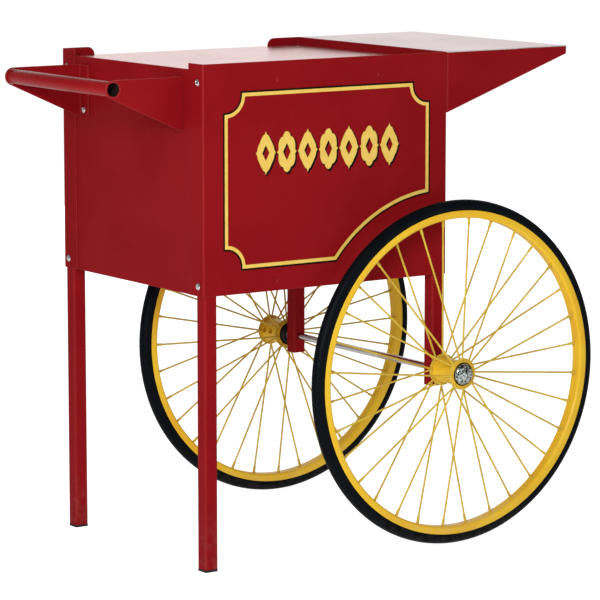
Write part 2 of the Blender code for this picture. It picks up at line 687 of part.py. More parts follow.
def wheels():
    tyre, rim, cap = tyre_mesh(), rim_mesh(), cap_mesh()
    inner_bush, outer_bush = bush_meshes()
    nut = nut_mesh(AXLE_BORE, HUB_HALF + GAP, AXLE_END - GAP * 2)
    washer = washer_mesh(AXLE_BORE, GAP - HUB_OFFSET - SIDE_INSET, -HUB_HALF - BUSH_DOME - GAP)
    inner_step = math.tau / SPOKES_PER_FLANGE / 2
    for label, side, phase in (("near", -1, NEAR_SPOKE_PHASE), ("far", 1, FAR_SPOKE_PHASE)):
        axis = wheel_axis(f"{label}_wheel_axis", side)
        wheel_piece(f"{label}_tyre", tyre, "tyre_rubber", axis, 0)
        wheel_piece(f"{label}_rim", rim, "yellow_enamel", axis, 0)
        barrel(f"{label}_hub_barrel", axis)
        spokes(f"{label}_outer_spokes", FLANGE_Z, phase, axis)
        spokes(f"{label}_inner_spokes", -FLANGE_Z, phase - inner_step, axis)
        wheel_piece(f"{label}_inner_bush", inner_bush, "black_plastic", axis, 0)
        wheel_piece(f"{label}_outer_bush", outer_bush, "black_plastic", axis, 0)
        wheel_piece(f"{label}_hub_cap", cap, "chrome", axis, 0)
        wheel_piece(f"{label}_axle_nut", nut, "zinc_steel", axis, 0)
        wheel_piece(f"{label}_axle_washer", washer, "zinc_steel", axis, 0)


def axle():
    half = HUB_Y + AXLE_END
    mesh = turned_mesh("axle", [(0, half), (AXLE_RADIUS, half), (AXLE_RADIUS, -half), (0, -half)],
                       ROUND_STEPS)
    rod = add_object("axle", mesh, "chrome")
    rod.location = (AXLE_X, 0, AXLE_Z)
    rod.rotation_euler = (math.pi / 2, 0, 0)


def main():
    for leftover in list(bpy.data.objects):
        bpy.data.objects.remove(leftover)
    body()
    legs()
    shelf()
    handle()
    fasteners()
    axle()
    wheels()


main()
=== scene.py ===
import math

import bpy
import numpy as np
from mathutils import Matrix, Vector


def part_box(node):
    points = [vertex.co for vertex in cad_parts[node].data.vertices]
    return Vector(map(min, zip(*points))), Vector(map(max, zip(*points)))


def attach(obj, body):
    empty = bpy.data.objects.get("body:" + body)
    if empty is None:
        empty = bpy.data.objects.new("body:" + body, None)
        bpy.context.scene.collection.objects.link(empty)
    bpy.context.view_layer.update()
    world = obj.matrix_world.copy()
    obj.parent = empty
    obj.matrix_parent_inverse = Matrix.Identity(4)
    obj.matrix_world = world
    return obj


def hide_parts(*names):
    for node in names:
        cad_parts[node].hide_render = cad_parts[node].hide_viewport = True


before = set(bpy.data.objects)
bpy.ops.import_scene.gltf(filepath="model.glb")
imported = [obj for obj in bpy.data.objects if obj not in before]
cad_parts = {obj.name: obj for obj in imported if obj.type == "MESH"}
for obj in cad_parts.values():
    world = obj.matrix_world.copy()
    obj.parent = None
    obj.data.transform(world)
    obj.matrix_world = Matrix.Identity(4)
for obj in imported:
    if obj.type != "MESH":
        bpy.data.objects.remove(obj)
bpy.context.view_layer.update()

# ---- The cart's own dimensions, in metres, repeated from the part -------------------------
MM = 0.001
BODY_WIDTH = 0.4572
SIDE_Y = BODY_WIDTH / 2      # outer face of the front panel, and of the rear one
HANDLE_HALF = 0.1675
TUBE_RADIUS = 0.0127
TUBE_WALL = 0.0012
WHEEL_RADIUS = 0.3048
TYRE_SECTION = 0.0118
RIM_LIP_RADIUS = 0.2868
RIM_INNER_RADIUS = 0.2730
RIM_HALF_WIDTH = 0.0120
RIM_DISH = 0.008
HUB_OFFSET = 0.0415
HUB_HALF = 0.0315
BARREL_RADIUS = 0.023
BARREL_WALL = 0.002
FLANGE_RADIUS = 0.028
FLANGE_Z = 0.0285
FLANGE_THICKNESS = 0.0025
SPOKES_PER_FLANGE = 16
SPOKE_LEAN = math.radians(9)
RIM_HOLE_OFFSET = 0.002
SPOKE_PHASE = {"near": math.radians(39.4), "far": math.radians(33.5)}
AXLE_RADIUS = 0.00635
AXLE_BORE = 0.0065
AXLE_END = 0.0375
BUSH_DOME = 0.0065
CAP_RADIUS = 0.019
CAP_HEIGHT = 0.0092
GAP = 0.0003
SCREW_HEAD = 0.006
SCREW_CROWN = 0.0031
SCREW_SHANK = 0.0024
SCREW_LENGTH = 0.008

AXLE_LOW, AXLE_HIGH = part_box("axle")
AXLE_X = (AXLE_LOW[0] + AXLE_HIGH[0]) / 2
AXLE_Z = (AXLE_LOW[2] + AXLE_HIGH[2]) / 2
HUB_Y = SIDE_Y + HUB_OFFSET

# ---- Fine details that only the surfaces have ---------------------------------------------
GROOVE_TURNS = (-0.62, -0.31, 0.31, 0.62)     # radians round the tyre's section
GROOVE_DEPTH = 0.35 * MM
GROOVE_SPREAD = 0.05
RIM_BED_HALF = 0.0082
RIM_EDGE = 0.0032
RIM_LIP = 1.2 * MM            # thickness of the lips beside the bed
RIM_FACE_BEND, RIM_INNER_BEND, RIM_BED_BEND, RIM_LIP_BEND = 1.4 * MM, 1.2 * MM, 1.0 * MM, 0.3 * MM
HOLE_RADIUS = 0.006                           # of the two holes in the hub's drum
HOLE_DEPTH = 0.0125
HOLE_PLACES = (0.0185, -0.0015)               # along the drum
HOLE_TURN = math.radians(8)
BARREL_WAIST = 0.0012
SOCKET_DEPTH = 0.007
# Distance from the spoke's own end, and radius there, both in millimetres.
SPOKE_HEAD = [(-1.2, 1.3), (-0.6, 2.0), (0.4, 2.35), (1.4, 2.3), (2.2, 1.8)]
SPOKE_NIPPLE = [(-13.6, 2.1), (-12.4, 2.4), (-3.0, 2.5), (-2.2, 2.9), (0.0, 2.9)]
SPOKE_WIRE = 1.7
SPOKE_OFFSET = 1.95 * MM                      # from the flange's middle to a spoke's
SPOKE_HEAD_INSET = 2.8 * MM                   # from the flange's edge to a spoke's head
BUSH_FOOT = 0.0180
BUSH_DEPTH = 0.0065
CAP_WALL = 0.8 * MM
CAP_LIP = 0.9 * MM
CAP_DIP = 1.1 * MM
CAP_DIP_RADIUS = 0.0105
CAP_DIP_SPREAD = 0.0022
SOFT_EDGE = 0.5 * MM
AXLE_CHAMFER = 1 * MM
SCREW_RIM = 0.7 * MM
CROSS_HALF_WIDTH = 0.75 * MM
CROSS_REACH = 3.1 * MM
CROSS_DEPTH = 1.5 * MM
RIVET_RADIUS = 2.6 * MM
RIVET_HEIGHT = 0.7 * MM
RIVET_X = (-0.1722, 0.0374)
RIVET_Z = (0.8308, 0.4896)
ROOT = 0.1 * MM                               # how deep painted and riveted pieces sit in


# ---- Surfaces -----------------------------------------------------------------------------
class Surface:
    """Closed grids gathered into one mesh."""

    def __init__(self):
        self.points = []
        self.faces = []
        self.count = 0

    def add(self, grid, ring=False, start=None, end=None):
        """Add a batch of grids, shaped (pieces, rows, columns, 3).

        Columns always join up. Rows join up when ring is set, and otherwise close on the poles
        start and end. Cell (i, j) is the face (i, j), (i, j+1), (i+1, j+1), (i+1, j). When the
        signed volume, the sum of a . (b x c) / 6 over the triangles, is negative, the faces are
        turned over, so every face points outwards.
        """
        pieces, rows, columns, _ = grid.shape
        index = np.arange(pieces * rows * columns).reshape(pieces, rows, columns)
        points = [grid.reshape(-1, 3)]
        following = np.roll(index, -1, axis=2)
        if ring:
            below, above = index, np.roll(index, -1, axis=1)
            below_next, above_next = following, np.roll(following, -1, axis=1)
        else:
            below, above = index[:, :-1], index[:, 1:]
            below_next, above_next = following[:, :-1], following[:, 1:]
        quads = np.stack([below, below_next, above_next, above], axis=-1).reshape(-1, 4)
        fans = []
        total = index.size
        for pole, row in ((start, 0), (end, -1)):
            if pole is None:
                continue
            tip = np.repeat(total + np.arange(pieces), columns).reshape(pieces, columns)
            edge, edge_next = index[:, row], following[:, row]
            order = [tip, edge_next, edge] if row == 0 else [edge, edge_next, tip]
            fans.append(np.stack(order, axis=-1).reshape(-1, 3))
            points.append(np.asarray(pole, dtype=float).reshape(-1, 3))
            total += pieces
        points = np.concatenate(points)
        triangles = np.concatenate([quads[:, :3], quads[:, [0, 2, 3]]] + fans)
        a, b, c = (points[triangles[:, k]] - points.mean(axis=0) for k in range(3))
        turned_over = np.einsum("ij,ij->i", a, np.cross(b, c)).sum() < 0
        for part in [quads] + fans:
            part = part[:, ::-1] if turned_over else part
            self.faces += (part + self.count).tolist()
        self.points.append(points)
        self.count += total
        return self


def make_piece(name, surface, body, finish, replaced=(), sharp=40):
    """Turn a surface into a piece that rides on a body."""
    mesh = bpy.data.meshes.new(name)
    mesh.from_pydata(np.concatenate(surface.points).tolist(), [], surface.faces)
    mesh.polygons.foreach_set("use_smooth", np.ones(len(mesh.polygons), dtype=bool))
    mesh.set_sharp_from_angle(angle=math.radians(sharp))
    mesh.materials.append(finish)
    piece = bpy.data.objects.new(name, mesh)
    bpy.context.scene.collection.objects.link(piece)
    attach(piece, body)
    if replaced:
        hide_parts(*replaced)
    return piece


def angles(count):
    """Equal steps round a full turn."""
    return np.arange(count) * (math.tau / count)


def turned(profile, steps):
    """Grid of a profile (r, z) turned about z: (r cos t, r sin t, z)."""
    profile = np.asarray(profile, dtype=float)
    turn = angles(steps)
    r, z = profile[:, :1], profile[:, 1:]
    return np.stack([r * np.cos(turn), r * np.sin(turn), z + 0 * turn], axis=-1)[None]


def rounded(corners, steps=5):
    """Closed outline of corners (a, b, radius), each drawn as an arc tangent to both its sides.

    With h the half angle between the sides, the arc starts radius / tan(h) from the corner.
    """
    points = []
    for index, (a, b, radius) in enumerate(corners):
        here = np.array([a, b])
        if radius == 0:
            points.append(here)
            continue
        before = np.array(corners[index - 1][:2]) - here
        after = np.array(corners[(index + 1) % len(corners)][:2]) - here
        before /= np.linalg.norm(before)
        after /= np.linalg.norm(after)
        half = math.acos(np.clip(before @ after, -1, 1)) / 2
        start, end = (here + way * (radius / math.tan(half)) for way in (before, after))
        middle = here + (before + after) / np.linalg.norm(before + after) * (radius / math.sin(half))
        share = np.linspace(0, 1, steps)[:, None]
        swing = math.pi - 2 * half
        first = (start - middle) * np.sin((1 - share) * swing) / math.sin(swing)
        second = (end - middle) * np.sin(share * swing) / math.sin(swing)
        points += list(middle + first + second)
    return np.array(points)


def on_wheel(grid, side):
    """From a wheel's own frame, with z outboard, to the cart's frame."""
    x, y, z = np.moveaxis(np.asarray(grid, dtype=float), -1, 0)
    way = -1 if side == "near" else 1
    return np.stack([AXLE_X - way * x, way * (HUB_Y + z), AXLE_Z + y], axis=-1)


# ---- Wheels -------------------------------------------------------------------------------
def tyre_surface(side):
    """Solid tyre: a circle of radius s turned about the hub, s dipping as a gaussian at grooves."""
    turn = angles(56)
    section = np.full(turn.size, TYRE_SECTION)
    for groove in GROOVE_TURNS:
        away = (turn - groove + math.pi) % math.tau - math.pi
        section -= GROOVE_DEPTH * np.exp(-(away / GROOVE_SPREAD) ** 2)
    middle = WHEEL_RADIUS - TYRE_SECTION
    profile = np.stack([middle + section * np.cos(turn), RIM_DISH + section * np.sin(turn)], 1)
    return Surface().add(on_wheel(turned(profile, 192), side), ring=True)


def rim_surface(side):
    """Shallow channel with rolled lips: a closed outline of rounded corners, turned about the hub."""
    floor = WHEEL_RADIUS - 2 * TYRE_SECTION - 2 * GAP
    half = [(RIM_LIP_RADIUS, RIM_HALF_WIDTH, SOFT_EDGE),
            (RIM_INNER_RADIUS + RIM_EDGE, RIM_HALF_WIDTH, RIM_FACE_BEND),
            (RIM_INNER_RADIUS, RIM_HALF_WIDTH - RIM_EDGE, RIM_INNER_BEND)]
    bed = [(floor, RIM_BED_HALF, RIM_BED_BEND),
           (RIM_LIP_RADIUS, RIM_HALF_WIDTH - RIM_LIP, RIM_LIP_BEND)]
    corners = half + [(r, -z, e) for r, z, e in reversed(half)]
    corners += [(r, -z, e) for r, z, e in reversed(bed)] + bed
    profile = rounded(corners) + [0, RIM_DISH]
    return Surface().add(on_wheel(turned(profile, 192), side), ring=True)


def barrel_surface(side):
    """Hub drum, slightly waisted, with two round holes side by side in its wall.

    On the outer wall, a point at (u, v) from a hole's middle has ring number m = max(|u|, |v|).
    Rings up to the hole's radius are drawn in from squares to circles, (u, v) m / |(u, v)|, and
    the warp fades out by one and a half radii. Inside the hole's ring the wall drops inwards.
    The drum's radius dips at its waist as (1 - (z / H)^2)^2, with H half its length.
    """
    steps = 144
    turn = angles(steps)
    z = np.linspace(-HUB_HALF, HUB_HALF, 127)
    turn, z = np.meshgrid(turn, z)
    r = BARREL_RADIUS - BARREL_WAIST * (1 - (z / HUB_HALF) ** 2) ** 2
    per_radian = HOLE_RADIUS / math.radians(15)
    u = ((turn + math.pi) % math.tau - math.pi) * per_radian
    shift = np.zeros_like(u)
    lift = np.zeros_like(u)
    for height in HOLE_PLACES:
        v = z - height
        ring = np.maximum(abs(u), abs(v))
        reach = np.maximum(np.hypot(u, v), 1e-9)
        fade = np.clip((1.5 * HOLE_RADIUS - ring) / (0.5 * HOLE_RADIUS), 0, 1)
        shrink = (ring / reach - 1) * fade
        shift += u * shrink
        lift += v * shrink
        r = np.where(ring < HOLE_RADIUS * 0.95, r - HOLE_DEPTH, r)
    turn = turn + shift / per_radian + HOLE_TURN
    z = z + lift
    wall = np.stack([r * np.cos(turn), r * np.sin(turn), z], axis=-1)[None]
    inner = BARREL_RADIUS - BARREL_WALL
    web = HUB_HALF - SOCKET_DEPTH
    lining = [(inner, HUB_HALF), (inner, web), (AXLE_BORE, web),
              (AXLE_BORE, -web), (inner, -web), (inner, -HUB_HALF)]
    grid = np.concatenate([wall, turned(lining, steps)], axis=1)
    return Surface().add(on_wheel(grid, side), ring=True)


def spoke_surface(side, side_z, phase):
    """One hub flange with its spokes, alternately on its outboard and inboard face.

    Spoke i runs straight between its two ends; its hub end is turned by the lean, forwards and
    backwards in turn. Its radius follows a table of distance and radius: a round head at the
    hub, a plain wire, and a thicker nipple at the rim.
    """
    low = side_z - FLANGE_THICKNESS / 2
    high = side_z + FLANGE_THICKNESS / 2
    bore = BARREL_RADIUS + 0.05 * MM
    corners = [(bore, low, 0), (FLANGE_RADIUS, low, SOFT_EDGE), (FLANGE_RADIUS, high, SOFT_EDGE),
               (bore, high, 0)]
    surface = Surface().add(on_wheel(turned(rounded(corners), 96), side), ring=True)

    index = np.arange(SPOKES_PER_FLANGE)
    way = np.where(index % 2 == 0, 1, -1)
    rim_turn = phase + math.tau * index / SPOKES_PER_FLANGE
    hub_turn = rim_turn + way * SPOKE_LEAN
    hub_radius = FLANGE_RADIUS - SPOKE_HEAD_INSET
    rim_radius = RIM_INNER_RADIUS + 0.4 * MM
    hub_z = side_z + way * SPOKE_OFFSET
    rim_z = RIM_DISH + math.copysign(RIM_HOLE_OFFSET, side_z) + 0 * index
    hub = np.stack([hub_radius * np.cos(hub_turn), hub_radius * np.sin(hub_turn), hub_z], 1)
    rim = np.stack([rim_radius * np.cos(rim_turn), rim_radius * np.sin(rim_turn), rim_z], 1)
    length = np.linalg.norm(rim - hub, axis=1, keepdims=True)
    along = (rim - hub) / length
    across = np.cross(along, [0.0, 0.0, 1.0])
    across /= np.linalg.norm(across, axis=1, keepdims=True)
    up = np.cross(along, across)
    head = np.array(SPOKE_HEAD + [(3.0, SPOKE_WIRE), (60.0, SPOKE_WIRE)]) * MM
    nipple = np.array([(-60.0, SPOKE_WIRE), (-14.5, SPOKE_WIRE)] + SPOKE_NIPPLE) * MM
    distance = np.concatenate([np.tile(head[:, 0], (index.size, 1)), length + nipple[:, 0]], 1)
    radius = np.concatenate([head[:, 1], nipple[:, 1]])
    turn = angles(12)
    circle = (across[:, None] * np.cos(turn)[:, None] + up[:, None] * np.sin(turn)[:, None])
    grid = (hub[:, None, None] + along[:, None, None] * distance[..., None, None]
            + circle[:, None] * radius[None, :, None, None])
    start = hub - along * 1.8 * MM
    end = rim + along * 0.2 * MM
    return surface.add(on_wheel(grid, side), start=on_wheel(start, side), end=on_wheel(end, side))


def bush_surface(side):
    """Inner bush: a flat ring and a dome, r = F sqrt(1 - (h / H)^2), down to the axle.

    F is the radius of the dome's foot, and H is such that the dome meets the bore at its height.
    """
    body_radius = BARREL_RADIUS - BARREL_WALL - GAP
    lean = np.linspace(0, math.acos(AXLE_BORE / BUSH_FOOT), 14)
    height = BUSH_DOME / math.sin(lean[-1])
    dome = np.stack([BUSH_FOOT * np.cos(lean), -HUB_HALF - height * np.sin(lean)], axis=1)[::-1]
    rest = [(body_radius, -HUB_HALF), (body_radius, -HUB_HALF + BUSH_DEPTH),
            (AXLE_BORE, -HUB_HALF + BUSH_DEPTH)]
    profile = np.concatenate([dome, rest])
    return Surface().add(on_wheel(turned(profile, 72), side), ring=True)


def cap_surface(side):
    """Pressed hub cap: a dome with a low centre button, a shallow dished ring and a rolled lip.

    Its height falls as an ellipse from the middle to the lip, less a gaussian dip.
    """
    base = HUB_HALF + GAP
    lean = np.linspace(math.pi / 2, 0.06, 30)
    r = CAP_RADIUS * np.cos(lean)
    dip = CAP_DIP * np.exp(-((r - CAP_DIP_RADIUS) / CAP_DIP_SPREAD) ** 2)
    outer = np.stack([r, base + CAP_HEIGHT * np.sin(lean) - dip], axis=1)
    lip = [(CAP_RADIUS, base + CAP_LIP), (CAP_RADIUS, base)]
    inner_height = CAP_HEIGHT - CAP_WALL
    inner = np.stack([r * 0.94, base + inner_height * np.sin(lean) - dip], axis=1)[::-1]
    profile = np.concatenate([outer[1:], lip, inner[:-1]])
    start = [[0, 0, outer[0, 1]]]
    end = [[0, 0, inner[-1, 1]]]
    return Surface().add(on_wheel(turned(profile, 96), side), start=on_wheel(start, side),
                         end=on_wheel(end, side))


def axle_surface():
    """Polished rod along the wheels' axis: a straight side and two chamfers, turned about it."""
    half = HUB_Y + AXLE_END
    tip = AXLE_RADIUS - AXLE_CHAMFER
    straight = half - AXLE_CHAMFER
    profile = [(tip, half), (AXLE_RADIUS, straight), (AXLE_RADIUS, -straight), (tip, -half)]
    x, y, z = np.moveaxis(turned(profile, 64), -1, 0)
    grid = np.stack([AXLE_X + x, -z, AXLE_Z + y], axis=-1)
    return Surface().add(grid, start=[[AXLE_X, -half, AXLE_Z]], end=[[AXLE_X, half, AXLE_Z]])


def make_wheel(side):
    """A wheel's pieces, each riding on the wheel's body and standing for its node."""
    body = f"{side}_wheel"
    phase = SPOKE_PHASE[side]
    inner_phase = phase - math.pi / SPOKES_PER_FLANGE
    rows = [
        ("tyre", tyre_surface(side), "tyre_rubber", 40),
        ("rim", rim_surface(side), "yellow_enamel", 40),
        ("hub_barrel", barrel_surface(side), "yellow_enamel", 40),
        ("outer_spokes", spoke_surface(side, FLANGE_Z, phase), "yellow_enamel", 50),
        ("inner_spokes", spoke_surface(side, -FLANGE_Z, inner_phase), "yellow_enamel", 50),
        ("inner_bush", bush_surface(side), "black_plastic", 40),
        ("hub_cap", cap_surface(side), "chrome", 40),
    ]
    special = {"outer_spokes": "spoke_enamel_painted_shade", "inner_spokes": "spoke_enamel_painted_shade",
               "hub_cap": "cap_chrome_painted_reflection"}
    for part, surface, slot, sharp in rows:
        finish = FINISH[special.get(part, slot)]
        make_piece(f"fine_{side}_{part}", surface, body, finish, [f"{side}_{part}"], sharp)


# ---- Handle tube and screws ---------------------------------------------------------------
def handle_tube_surface():
    """Tube along y with open ends: its wall's outline, corners rounded, turned about its axis."""
    low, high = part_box("handle_tube")
    inner = TUBE_RADIUS - TUBE_WALL
    corners = [(TUBE_RADIUS, -HANDLE_HALF, SOFT_EDGE), (TUBE_RADIUS, HANDLE_HALF, SOFT_EDGE),
               (inner, HANDLE_HALF, SOFT_EDGE), (inner, -HANDLE_HALF, SOFT_EDGE)]
    x, y, z = np.moveaxis(turned(rounded(corners), 96), -1, 0)
    grid = np.stack([(low[0] + high[0]) / 2 + x, -z, (low[2] + high[2]) / 2 + y], axis=-1)
    return Surface().add(grid, ring=True)


def make_handle_tube():
    """The tube, in a brighter copy of the enamel outside, which is painted light, and bare steel
    inside, coloured near-black as painted shade of the bore.
    """
    tube = make_piece("fine_handle_tube", handle_tube_surface(), "cart",
                      FINISH["tube_enamel_painted_light"], ["handle_tube"])
    # Near-black inside: painted shade of the tube's bore.
    tube.data.materials.append(FINISH["bore_painted_shade"])
    low, high = (np.array(corner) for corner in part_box("handle_tube"))
    centres = np.empty(3 * len(tube.data.polygons))
    tube.data.polygons.foreach_get("center", centres)
    across = centres.reshape(-1, 3) - (low + high) / 2
    inside = np.hypot(across[:, 0], across[:, 2]) < TUBE_RADIUS - 0.9 * TUBE_WALL
    tube.data.polygons.foreach_set("material_index", inside.astype(np.int32))


def screw_surface(node):
    """Pan-head screw with a cross recess.

    The crown's height is C (1 - (r / R)^2.6), less D where |x| < w and |y| < L or the reverse,
    each edge of the cross a smooth step, 1 / (1 + e^t). It points away from the cart's middle.
    """
    low, high = (np.array(corner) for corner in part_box(node))
    outward = 1 if low[0] + high[0] > 0 else -1
    columns = 64
    turn = angles(columns)
    crown_r = np.linspace(SCREW_HEAD, 0.15 * MM, 22)[:, None]
    x, y = crown_r * np.cos(turn), crown_r * np.sin(turn)
    z = SCREW_RIM + (SCREW_CROWN - SCREW_RIM) * (1 - (crown_r / SCREW_HEAD) ** 2.6) + 0 * turn

    def slot(across, along):
        narrow = 1 / (1 + np.exp((abs(across) - CROSS_HALF_WIDTH) / (0.12 * MM)))
        return narrow / (1 + np.exp((abs(along) - CROSS_REACH) / (0.25 * MM)))

    z = z - CROSS_DEPTH * np.maximum(slot(x, y), slot(y, x))
    crown = np.stack([x, y, z], axis=-1)[None]
    body = turned([(SCREW_SHANK, -SCREW_LENGTH), (SCREW_SHANK, 0), (SCREW_HEAD, 0)], columns)
    grid = np.concatenate([body, crown], axis=1)
    poles = np.array([[[[0, 0, -SCREW_LENGTH]]], [[[0, 0, SCREW_CROWN - CROSS_DEPTH]]]])
    face = high[0] - SCREW_CROWN if outward > 0 else low[0] + SCREW_CROWN
    middle = (low + high) / 2

    def place(points):
        return np.stack([face + outward * points[..., 2], middle[1] + outward * points[..., 0],
                         middle[2] + points[..., 1]], axis=-1)

    return Surface().add(place(grid), start=place(poles[0]), end=place(poles[1]))


# ---- Painted decoration on the front panel ------------------------------------------------
FRAME_LEFT, FRAME_RIGHT = -0.2768, 0.1424
FRAME_LOW, FRAME_TOP = 0.5188, 0.8096
CORNER_ARC = 0.035
ARCH_Z = 0.3362
ARCH_RADIUS = 0.2883
STRIPE_HALF = 3.0 * MM
OUTLINE_HALF = 6.3 * MM
PAINT = 0.15 * MM             # thickness of one coat; the stripes lie on two
ORNAMENT_COUNT = 7
ORNAMENT_LEFT, ORNAMENT_RIGHT = -0.1969, 0.0609
ORNAMENT_Z = 0.7088
LOZENGE_SIZE = (20.0 * MM, 36.5 * MM)         # half width and half height
PUFF_SIZE = (18.5 * MM, 35.0 * MM)
SHADOW_SHIFT = 2.6 * MM
SHADOW_GROWTH = 1.05


def arc(centre, radius, start, end, steps):
    """Points centre + radius (cos t, sin t) between two angles in degrees."""
    turn = np.radians(np.linspace(start, end, steps))
    return np.stack([centre[0] + radius * np.cos(turn), centre[1] + radius * np.sin(turn)], 1)


def frame_path():
    """Pinstripe frame: three scooped corners, and an arch over the wheel at the fourth."""
    low_turn = 180 - math.degrees(math.asin((FRAME_LOW - ARCH_Z) / ARCH_RADIUS))
    right_turn = math.degrees(math.acos((FRAME_RIGHT - AXLE_X) / ARCH_RADIUS))
    parts = [arc((AXLE_X, ARCH_Z), ARCH_RADIUS, low_turn, right_turn, 40),
             arc((FRAME_RIGHT, FRAME_TOP), CORNER_ARC, 270, 180, 16),
             arc((FRAME_LEFT, FRAME_TOP), CORNER_ARC, 0, -90, 16),
             arc((FRAME_LEFT, FRAME_LOW), CORNER_ARC, 90, 0, 16)]
    return np.concatenate(parts)


def ribbon(path, inner, outer, proud):
    """Flat band along a closed path, from inner to outer of it, its corners mitred.

    A point moves along (n + m) / (1 + n . m), with n and m the normals of the sides it joins.
    """
    ahead = np.roll(path, -1, axis=0) - path
    ahead /= np.linalg.norm(ahead, axis=1, keepdims=True)
    normal = np.stack([ahead[:, 1], -ahead[:, 0]], axis=1)
    before = np.roll(normal, 1, axis=0)
    mitre = (normal + before) / (1 + (normal * before).sum(axis=1, keepdims=True))
    edges = [path + mitre * inner, path + mitre * outer]
    return band(edges[0], edges[1], proud)


def band(inside, outside, proud):
    """Closed plate between two outlines (x, z), standing proud of the front panel."""
    face = -SIDE_Y - proud
    back = -SIDE_Y + ROOT
    columns = [(inside, back), (outside, back), (outside, face), (inside, face)]
    rows = [np.stack([edge[:, 0], np.full(len(edge), y), edge[:, 1]], axis=1)
            for edge, y in columns]
    return np.stack(rows, axis=0)[None]


def ornament(x, kind, shift=0, growth=1):
    """Inner and outer outline of one ornament, a radius r(t) stretched upright about (x, z).

    A lozenge is |x|^p + |y|^p = 1, drawn in beside its points and let out again at them by
    gaussians. A puff has six soft lobes, |sin 3t|^0.8, and a gaussian spike at either side. Both
    are pierced by a small lozenge. The shift goes right and down.
    """
    turn = angles(288)
    power = 1.05
    lozenge = (abs(np.cos(turn)) ** power + abs(np.sin(turn)) ** power) ** (-1 / power)
    if kind == "lozenge":
        quarter = (turn + math.pi / 4) % (math.pi / 2) - math.pi / 4
        radius = 1.06 * lozenge - 0.16 * np.exp(-(quarter / 0.20) ** 2)
        radius += 0.10 * np.exp(-(quarter / 0.10) ** 2)
        size, hole = LOZENGE_SIZE, 0.36
    else:
        beside = (turn + math.pi / 2) % math.pi - math.pi / 2
        radius = 0.84 + 0.15 * abs(np.sin(3 * turn)) ** 0.8
        radius += 0.20 * np.exp(-(beside / 0.07) ** 2)
        size, hole = PUFF_SIZE, 0.42
    way = np.stack([np.cos(turn), np.sin(turn)], axis=1) * size
    centre = np.array([x + shift, ORNAMENT_Z - shift])
    inside = centre + way * (lozenge * hole / growth)[:, None]
    outside = centre + way * (radius * growth)[:, None]
    return inside, outside


def make_decoration():
    """Painted frame and row of ornaments, over a dark outline and dark drop shadows."""
    path = frame_path()
    stripe = Surface().add(ribbon(path, -STRIPE_HALF, STRIPE_HALF, 2 * PAINT), ring=True)
    outline = Surface().add(ribbon(path, 0, OUTLINE_HALF, PAINT), ring=True)
    for index, x in enumerate(np.linspace(ORNAMENT_LEFT, ORNAMENT_RIGHT, ORNAMENT_COUNT)):
        kind = ("lozenge", "puff")[index % 2]
        outline.add(band(*ornament(x, kind, SHADOW_SHIFT, SHADOW_GROWTH), PAINT), ring=True)
        stripe.add(band(*ornament(x, kind), 2 * PAINT), ring=True)
    make_piece("pinstripe", stripe, "cart", FINISH["pinstripe"])
    make_piece("pinstripe_outline", outline, "cart", FINISH["outline_black"])


def make_rivets():
    """Low domed rivets, painted over with the panel: half ellipses turned about their middles."""
    surface = Surface()
    lean = np.linspace(math.pi / 2, 0, 8)[:-1]
    profile = np.stack([RIVET_RADIUS * np.sin(lean), RIVET_HEIGHT * np.cos(lean)], axis=1)
    a, b, c = np.moveaxis(turned(profile, 32), -1, 0)
    for x in RIVET_X:
        for z in RIVET_Z:
            grid = np.stack([x + a, -SIDE_Y - c, z + b], axis=-1)
            surface.add(grid, start=[[x, -SIDE_Y + ROOT, z]],
                        end=[[x, -SIDE_Y - RIVET_HEIGHT, z]])
    make_piece("panel_rivets", surface, "cart", FINISH["red_enamel"])


# ---- Finishes -----------------------------------------------------------------------------
def new_group(name, inputs, outputs):
    """Empty node group with its sockets; returns the tree and its two end nodes."""
    tree = bpy.data.node_groups.new(name, "ShaderNodeTree")
    for direction, rows in (("INPUT", inputs), ("OUTPUT", outputs)):
        for label, kind, value in rows:
            socket = tree.interface.new_socket(name=label, in_out=direction,
                                               socket_type=f"NodeSocket{kind}")
            if value is not None:
                socket.default_value = value
    return tree, tree.nodes.new("NodeGroupInput"), tree.nodes.new("NodeGroupOutput")


def add_node(tree, kind, values=None, **settings):
    """New node; values sets or links its inputs by name or number."""
    node = tree.nodes.new(f"ShaderNode{kind}")
    for key, value in settings.items():
        setattr(node, key, value)
    for key, value in (values or {}).items():
        if isinstance(value, bpy.types.NodeSocket):
            tree.links.new(value, node.inputs[key])
        else:
            node.inputs[key].default_value = value
    return node


def patches_group():
    """Soft patches: noise on stretched object coordinates, cut between two levels."""
    tree, given, out = new_group("soft_patches", [
        ("Stretch", "Vector", (1, 1, 1)), ("Scale", "Float", 5.0), ("Detail", "Float", 3.0),
        ("Low", "Float", 0.35), ("High", "Float", 0.65)], [("Mask", "Float", None)])
    place = add_node(tree, "TexCoord")
    spread = add_node(tree, "VectorMath", {0: place.outputs["Object"], 1: given.outputs["Stretch"]},
                      operation="MULTIPLY")
    noise = add_node(tree, "TexNoise", {"Vector": spread.outputs[0], "Scale": given.outputs["Scale"],
                                        "Detail": given.outputs["Detail"]})
    cut = add_node(tree, "MapRange", {"Value": noise.outputs[0], "From Min": given.outputs["Low"],
                                      "From Max": given.outputs["High"]},
                   interpolation_type="SMOOTHSTEP")
    tree.links.new(cut.outputs[0], out.inputs["Mask"])
    return tree


